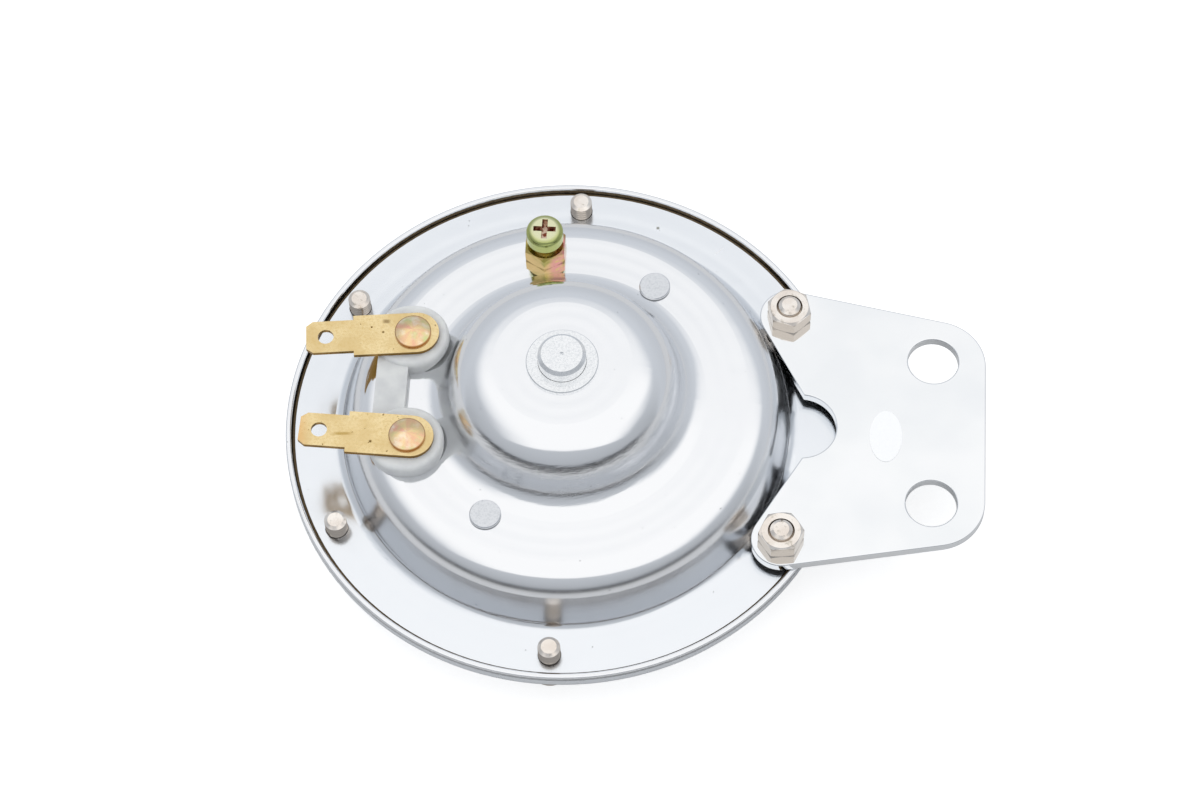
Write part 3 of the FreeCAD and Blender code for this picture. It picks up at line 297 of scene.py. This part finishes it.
def passivated_rivets():
    """Zinc plated rivets with a thin passivation film: gold with pink rays, patches of green, and painted
    shade browning each head's edge.
    """
    zinc, place = new_material("passivated_rivet_zinc")
    low, high = (corner * PER_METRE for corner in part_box("terminal_rivets"))
    upper = (low.x + RIVET_HEAD, high.y - RIVET_HEAD)
    lower = (high.x - RIVET_HEAD, low.y + RIVET_HEAD)
    across = add_node(zinc, "ShaderNodeSeparateXYZ", {0: place}, "Y")
    side = add_node(zinc, "ShaderNodeMath", {0: across, 1: 0.0}, operation="GREATER_THAN")
    rays = add_node(zinc, "ShaderNodeMix", {
        0: side, 4: bearing(zinc, place, lower), 5: bearing(zinc, place, upper),
    }, 1, data_type="VECTOR")
    gap = add_node(zinc, "ShaderNodeMix", {
        0: side, 2: from_axis(zinc, place, lower), 3: from_axis(zinc, place, upper)})
    pale = cloud(zinc, place, 1.8, 0.44, 0.80, 3.0)
    rosy = cloud(zinc, rays, 1.1, 0.34, 0.70, 3.0)
    green = cloud(zinc, place, 2.6, 0.46, 0.76, 3.0)
    # Painted shade: the outer edge of each rivet head is darkened brown.
    rim = zone(zinc, gap, 0.25, start=RIVET_HEAD - 0.25)
    colour = layered(zinc, "F7DCA4", [
        (rosy, "F0B59C"), (green, "D0D898"), (pale, "FFF0D6"), (rim, "A8794C"),
    ])
    rough = total(zinc, 0.13, [(0.08, cloud(zinc, place, 0.5, 0.3, 0.7, 4.0))])
    normal = relief(zinc, [
        (0.006, cloud(zinc, rays, 0.45, 0.2, 0.8, 2.0)), (0.010, cloud(zinc, place, 1.2, 0.2, 0.8)),
    ])
    return surface(zinc, {
        "Metallic": 1.0, "Base Color": colour, "Roughness": rough, "Normal": normal,
    })


def passivated_adjuster():
    """Zinc plated adjusting screw and nut: yellow-green head with a red recess darkened by painted shade
    and lit by painted glints, nut partly pink.
    """
    zinc, place = new_material("passivated_adjuster_zinc")
    axis = middle_of("adjusting_screw")
    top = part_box("adjusting_screw")[1].z * PER_METRE
    gap = from_axis(zinc, place, axis)
    level = add_node(zinc, "ShaderNodeSeparateXYZ", {0: place}, "Z")
    right = add_node(zinc, "ShaderNodeSeparateXYZ", {0: bearing(zinc, place, axis)}, "X")
    head = zone(zinc, level, 0.2, start=top - ADJUSTER_HEAD)
    # Greener film on the head's rounded edge, darkened there by painted shade.
    rounding = zone(zinc, gap, 1.1, start=1.9)
    edge = add_node(zinc, "ShaderNodeMath", {0: rounding, 1: head}, operation="MULTIPLY")
    # Red-brown film in the recess, made darker there as painted shade.
    arms = zone(zinc, gap, 0.2, end=RECESS_REACH)
    sunk = zone(zinc, level, 0.3, top - 3.0, top - 0.1)
    recess_film_and_shade = add_node(zinc, "ShaderNodeMath", {0: arms, 1: sunk}, operation="MULTIPLY")
    # Painted glints: pale flecks in the recess.
    flecks = cloud(zinc, place, 0.8, 0.46, 0.54, 1.0)
    glint = add_node(zinc, "ShaderNodeMath", {0: flecks, 1: recess_film_and_shade}, operation="MULTIPLY")
    pink = cloud(zinc, place, 1.5, 0.35, 0.60)
    facing = zone(zinc, right, 0.7, start=-0.1)
    rosy = add_node(zinc, "ShaderNodeMath", {0: facing, 1: pink}, operation="MULTIPLY")
    olive = cloud(zinc, place, 3.2, 0.40, 0.70, 3.0)
    colour = layered(zinc, "D8B878", [
        (rosy, "E09C94"), (olive, "A89E50"), (head, "E4E4BE"), (edge, "B0B872"),
        (recess_film_and_shade, "8C4C3A"), (glint, "E6CDB8"),
    ])
    rough = total(zinc, 0.14, [(0.08, cloud(zinc, place, 0.5, 0.3, 0.7, 4.0)), (0.25, recess_film_and_shade)])
    normal = relief(zinc, [(0.004, cloud(zinc, place, 0.5, 0.2, 0.8))])
    return surface(zinc, {
        "Metallic": 1.0, "Base Color": colour, "Roughness": rough, "Normal": normal,
    })


def nickel_plated_steel(name, face_level, thread):
    """Nickel plated fasteners: warm bright end faces, painted shade on the duller side faces and thread
    roots, grime.
    """
    nickel, place = new_material(name)
    level = add_node(nickel, "ShaderNodeSeparateXYZ", {0: place}, "Z")
    turns = total(nickel, face_level / THREAD_PITCH, [(-1.0 / THREAD_PITCH, level)])
    turn = add_node(nickel, "ShaderNodeMath", {0: turns}, operation="FRACT")
    # Painted shade: everything below face_level is darker than the end face.
    painted_side_shade = zone(nickel, level, 0.05, end=face_level)
    shank = zone(nickel, level, 0.05, FLANGE_LEVEL - 0.5, face_level)
    # Painted shade in the thread's roots: a dark band on each turn of the shank.
    groove = zone(nickel, turn, 0.3, 0.2, 0.8)
    valley = add_node(nickel, "ShaderNodeMath", {0: groove, 1: thread}, operation="MULTIPLY")
    painted_root_shade = add_node(nickel, "ShaderNodeMath", {0: valley, 1: shank}, operation="MULTIPLY")
    grime = cloud(nickel, place, 0.9, 0.56, 0.80, 3.0, 0.5)
    tint = cloud(nickel, place, 3.0, 0.3, 0.7)
    colour = layered(nickel, "F8F2EB", [
        (tint, "EAE0D6"), (grime, "C6BDB0"), (painted_side_shade, "CBC1B6"), (painted_root_shade, "6E665C"),
    ])
    rough = total(nickel, 0.12, [(0.06, tint), (0.10, grime), (0.06, painted_side_shade), (0.2, painted_root_shade)])
    normal = relief(nickel, [(0.003, cloud(nickel, place, 0.8, 0.2, 0.8))])
    return surface(nickel, {
        "Metallic": 1.0, "Base Color": colour, "Roughness": rough, "Normal": normal,
    })


def turned_steel(name, light, dark, rough):
    """Turned or riveted low-carbon steel, zinc plated: greyer and softer than the sheet, speckled.

    A painted shadow, a dark line, marks where a flat rivet head meets the plateau.
    """
    steel, place = new_material(name)
    grains = cloud(steel, place, 0.35, 0.40, 0.75, 4.0, 0.7)
    level = add_node(steel, "ShaderNodeSeparateXYZ", {0: place}, "Z")
    # Painted shadow: darker up to 0.3 mm above the plateau, at the foot of each flat rivet head.
    painted_foot_shadow = zone(steel, level, 0.15, PLATEAU_LEVEL - 1.0, PLATEAU_LEVEL + 0.3)
    return surface(steel, {
        "Metallic": 1.0, "Base Color": layered(steel, light, [(grains, dark), (painted_foot_shadow, "6E7074")]),
        "Roughness": total(steel, rough, [(0.1, grains)]),
        "Normal": relief(steel, [(0.004, cloud(steel, place, 0.5, 0.2, 0.8, 3.0, 0.6))]),
    })


def natural_nylon():
    """Natural polyamide, injection moulded: milky, lets light in and glows at its edges."""
    nylon, place = new_material("natural_nylon")
    colour = layered(nylon, "CDCECE", [(cloud(nylon, place, 4.0, 0.3, 0.7), "DEDFDD")])
    rough = total(nylon, 0.34, [(0.12, cloud(nylon, place, 0.7, 0.3, 0.7, 4.0))])
    return surface(nylon, {
        "Base Color": colour, "Roughness": rough, "IOR": 1.53, "Subsurface Weight": 0.5,
        "Subsurface Radius": (1.0, 1.0, 0.95), "Subsurface Scale": 2.0 * MM,
        "Normal": relief(nylon, [(0.006, cloud(nylon, place, 0.5, 0.2, 0.8))]),
    })


def dull_material(name, dark, light, size_mm, rough, relief_mm):
    """Unpolished stuff that doesn't shine: two tones of the same colour with a fine relief."""
    stuff, place = new_material(name)
    tone = cloud(stuff, place, size_mm, 0.25, 0.75, 4.0, 0.6)
    return surface(stuff, {
        "Base Color": layered(stuff, dark, [(tone, light)]),
        "Roughness": total(stuff, rough, [(0.1, tone)]),
        "Normal": relief(stuff, [(relief_mm, cloud(stuff, place, size_mm / 2, 0.2, 0.8))]),
    })


def inner_metal(name, dark, light, size_mm, rough, stretch=(1.0, 1.0, 1.0)):
    """Plain metal inside the horn, spring sheet, contact points or wire: two tones along its grain."""
    metal, place = new_material(name)
    grain = add_node(metal, "ShaderNodeVectorMath", {0: place, 1: stretch}, operation="MULTIPLY")
    tone = cloud(metal, grain, size_mm, 0.25, 0.75, 4.0, 0.6)
    return surface(metal, {
        "Metallic": 1.0, "Base Color": layered(metal, dark, [(tone, light)]),
        "Roughness": total(metal, rough, [(0.1, tone)]), "Normal": relief(metal, [(0.004, tone)]),
    })


def dress_nodes():
    """Gives each CAD piece its finish."""
    plated = bright_plated_steel()
    chrome = polished_chrome()
    brass = rolled_brass()
    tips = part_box("cover_screws")[1].z * PER_METRE - TIP_CHAMFER
    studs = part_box("bracket_screws")[1].z * PER_METRE - TIP_CHAMFER
    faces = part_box("bracket_nuts")[1].z * PER_METRE - NUT_CHAMFER
    short_screws = nickel_plated_steel("nickel_plated_screws", tips, 1.0)
    long_screws = nickel_plated_steel("nickel_plated_studs", studs, 1.0)
    nickel = nickel_plated_steel("nickel_plated_nuts", faces, 0.0)
    turned = turned_steel("bright_turned_steel", "F8F9FA", "E0E3E6", 0.20)
    flat_zinc = turned_steel("barrel_plated_rivet_steel", "E4E6E9", "D0D3D7", 0.28)
    rivets = passivated_rivets()
    adjuster = passivated_adjuster()
    nylon = natural_nylon()
    fibre = dull_material("pressed_fibre", "54442E", "6E5C40", 0.5, 0.80, 0.03)
    board = dull_material("laminated_board", "5C3620", "7A4A2C", 0.8, 0.55, 0.02)
    paper = dull_material("coated_label_paper", "FDFDFC", "FFFFFF", 0.6, 0.50, 0.004)
    former = dull_material("glass_filled_polyamide", "131315", "1E1E21", 0.6, 0.45, 0.01)
    ceramic = dull_material("unglazed_ceramic", "C9C4B6", "D8D4C8", 0.7, 0.70, 0.02)
    spring = inner_metal("rolled_spring_steel", "9A9CA0", "B4B6BA", 0.8, 0.25, (0.2, 1.4, 1.0))
    wire = inner_metal("enamelled_copper", "7C3A1E", "A8562C", 0.5, 0.30, (1.0, 1.0, 6.0))
    silver = inner_metal("contact_silver", "8A8C90", "A8AAAE", 0.5, 0.35)
    finishes = {
        "housing_shell": plated, "front_cover": plated, "tone_disc": plated,
        "mounting_bracket": chrome, "bracket_screws": long_screws, "cover_screws": short_screws,
        "bracket_nuts": nickel, "bracket_spacers": nickel, "armature_nut": nickel,
        "pole_core": turned, "pole_washer": turned, "armature": turned,
        "tone_disc_spacer": turned, "plate_rivets": flat_zinc, "rating_label": paper,
        "terminal_blade_upper": brass, "terminal_blade_lower": brass, "terminal_tags": brass,
        "terminal_block": nylon, "terminal_rivets": rivets, "adjusting_screw": adjuster,
        "adjuster_lock_nut": adjuster, "housing_gasket": fibre, "front_gasket": fibre,
        "inner_insulator": board, "breaker_insulators": board, "coil_bobbin": former,
        "coil_winding": wire, "diaphragm": spring, "fixed_contact_leaf": spring,
        "moving_contact_leaf": spring, "resistor_clip": spring, "fixed_contact_point": silver,
        "moving_contact_point": silver, "spark_resistor": ceramic,
    }
    for name, material in finishes.items():
        nodes[name].data.materials.clear()
        nodes[name].data.materials.append(material)


def make_floor():
    """Pale sheet that the horn lies on, white to the camera, with the horn's shadow.

    Mirrors see it greyer than the camera does, and dark towards the viewer.
    """
    half = 3.0
    corners = [(-half, -half, 0), (half, -half, 0), (half, half, 0), (-half, half, 0)]
    mesh = bpy.data.meshes.new("floor")
    mesh.from_pydata(corners, [], [(0, 1, 2, 3)])
    floor = bpy.data.objects.new("floor", mesh)
    bpy.context.scene.collection.objects.link(floor)
    sheet, place = new_material("white_backdrop_paper")
    seen = add_node(sheet, "ShaderNodeLightPath", output="Is Camera Ray")
    through = add_node(sheet, "ShaderNodeLightPath", output="Is Transmission Ray")
    mirrored = add_node(sheet, "ShaderNodeLightPath", output="Is Glossy Ray")
    across = add_node(sheet, "ShaderNodeSeparateXYZ", {0: place}, "Y")
    past_end = zone(sheet, across, FLOOR_FADE, end=FLOOR_END)
    dark = add_node(sheet, "ShaderNodeMath", {0: past_end, 1: mirrored}, operation="MULTIPLY")
    mesh.materials.append(surface(sheet, {
        "Base Color": layered(sheet, "C6C6C6", [(dark, "484848")]), "Roughness": 0.9,
        "Specular IOR Level": 0.0, "Emission Color": (1.0, 1.0, 1.0, 1.0),
        "Emission Strength": total(sheet, 0.0, [
            (FLOOR_GLOW, seen), (FLOOR_GLOW, through), (FLOOR_GLOW_IN_MIRRORS, mirrored)]),
    }))


def make_world():
    """White panel overhead with pale walls, sharp towards the viewer and with a dark gap on that side."""
    world = bpy.data.worlds.new("light_tent")
    bpy.context.scene.world = world
    world.use_nodes = True
    world.node_tree.nodes.clear()
    way = add_node(world, "ShaderNodeTexCoord", output="Generated")
    height = add_node(world, "ShaderNodeSeparateXYZ", {0: way}, "Z")
    forth = add_node(world, "ShaderNodeSeparateXYZ", {0: way}, "Y")
    over = add_node(world, "ShaderNodeMath", {0: height, 1: LOWEST_HEIGHT}, operation="MAXIMUM")
    spread = add_node(world, "ShaderNodeVectorMath", {0: way, 1: over}, operation="DIVIDE")
    across = add_node(world, "ShaderNodeSeparateXYZ", {0: spread}, "X")
    along = add_node(world, "ShaderNodeSeparateXYZ", {0: spread}, "Y")
    panel = zone(world, along, 0.08, start=PANEL_NEAR)
    edges = [
        zone(world, along, 0.72, end=PANEL_FAR),
        zone(world, across, 1.1, start=PANEL_LEFT), zone(world, across, 1.0, end=PANEL_RIGHT),
    ]
    for edge in edges:
        panel = add_node(world, "ShaderNodeMath", {0: panel, 1: edge}, operation="MULTIPLY")
    front = zone(world, forth, 0.5, end=-0.1)
    under = zone(world, height, 0.22, end=GAP_TOP)
    gap = add_node(world, "ShaderNodeMath", {0: front, 1: under}, operation="MULTIPLY")
    walls = total(world, WALL_STRENGTH, [
        (-GAP_LOSS, gap), (HIGH_WALL_GAIN, zone(world, height, 0.7, start=0.1)),
        (FAR_WALL_GAIN, zone(world, along, 2.0, start=-0.5)),
    ])
    glossy = add_node(world, "ShaderNodeLightPath", output="Is Glossy Ray")
    camera = add_node(world, "ShaderNodeLightPath", output="Is Camera Ray")
    mirrored = add_node(world, "ShaderNodeMix", {0: panel, 2: walls, 3: PANEL_STRENGTH})
    lit = add_node(world, "ShaderNodeMix", {0: glossy, 2: OTHER_STRENGTH, 3: mirrored})
    shown = add_node(world, "ShaderNodeMix", {0: camera, 2: lit, 3: 1.0})
    tint = layered(world, "F0F5FC", [(panel, "FFFFFF"), (camera, "FFFFFF")])
    sky = add_node(world, "ShaderNodeBackground", {"Color": tint, "Strength": shown})
    add_node(world, "ShaderNodeOutputWorld", {"Surface": sky})


def make_lamps():
    """One large soft box above and behind the horn. Mirrors don't show it."""
    lamp = bpy.data.lights.new("soft_box", "AREA")
    lamp.shape = "SQUARE"
    lamp.size = SOFT_BOX_SIZE
    lamp.energy = SOFT_BOX_WATTS
    box = bpy.data.objects.new("soft_box", lamp)
    bpy.context.scene.collection.objects.link(box)
    box.visible_glossy = False
    box.location = SOFT_BOX_PLACE
    box.rotation_euler = (VIEW_TARGET - SOFT_BOX_PLACE).to_track_quat("-Z", "Y").to_euler()


def make_camera():
    """Camera where the photograph was taken from."""
    back = Vector((math.sin(VIEW_AZIMUTH) * math.cos(VIEW_ELEVATION),
                   -math.cos(VIEW_AZIMUTH) * math.cos(VIEW_ELEVATION), math.sin(VIEW_ELEVATION)))
    level = Vector((math.cos(VIEW_AZIMUTH), math.sin(VIEW_AZIMUTH), 0))
    upright = back.cross(level)
    right = math.cos(VIEW_ROLL) * level + math.sin(VIEW_ROLL) * upright
    up = -math.sin(VIEW_ROLL) * level + math.cos(VIEW_ROLL) * upright
    data = bpy.data.cameras.new("camera")
    data.lens = LENS_LENGTH
    data.sensor_width = SENSOR_WIDTH
    camera = bpy.data.objects.new("camera", data)
    bpy.context.scene.collection.objects.link(camera)
    turn = Matrix((right, up, back)).transposed().to_4x4()
    camera.matrix_world = Matrix.Translation(VIEW_TARGET + VIEW_DISTANCE * back) @ turn
    bpy.context.scene.camera = camera


dress_nodes()
make_floor()
make_world()
make_lamps()
make_camera()
bpy.context.scene.view_settings.view_transform = "Standard"
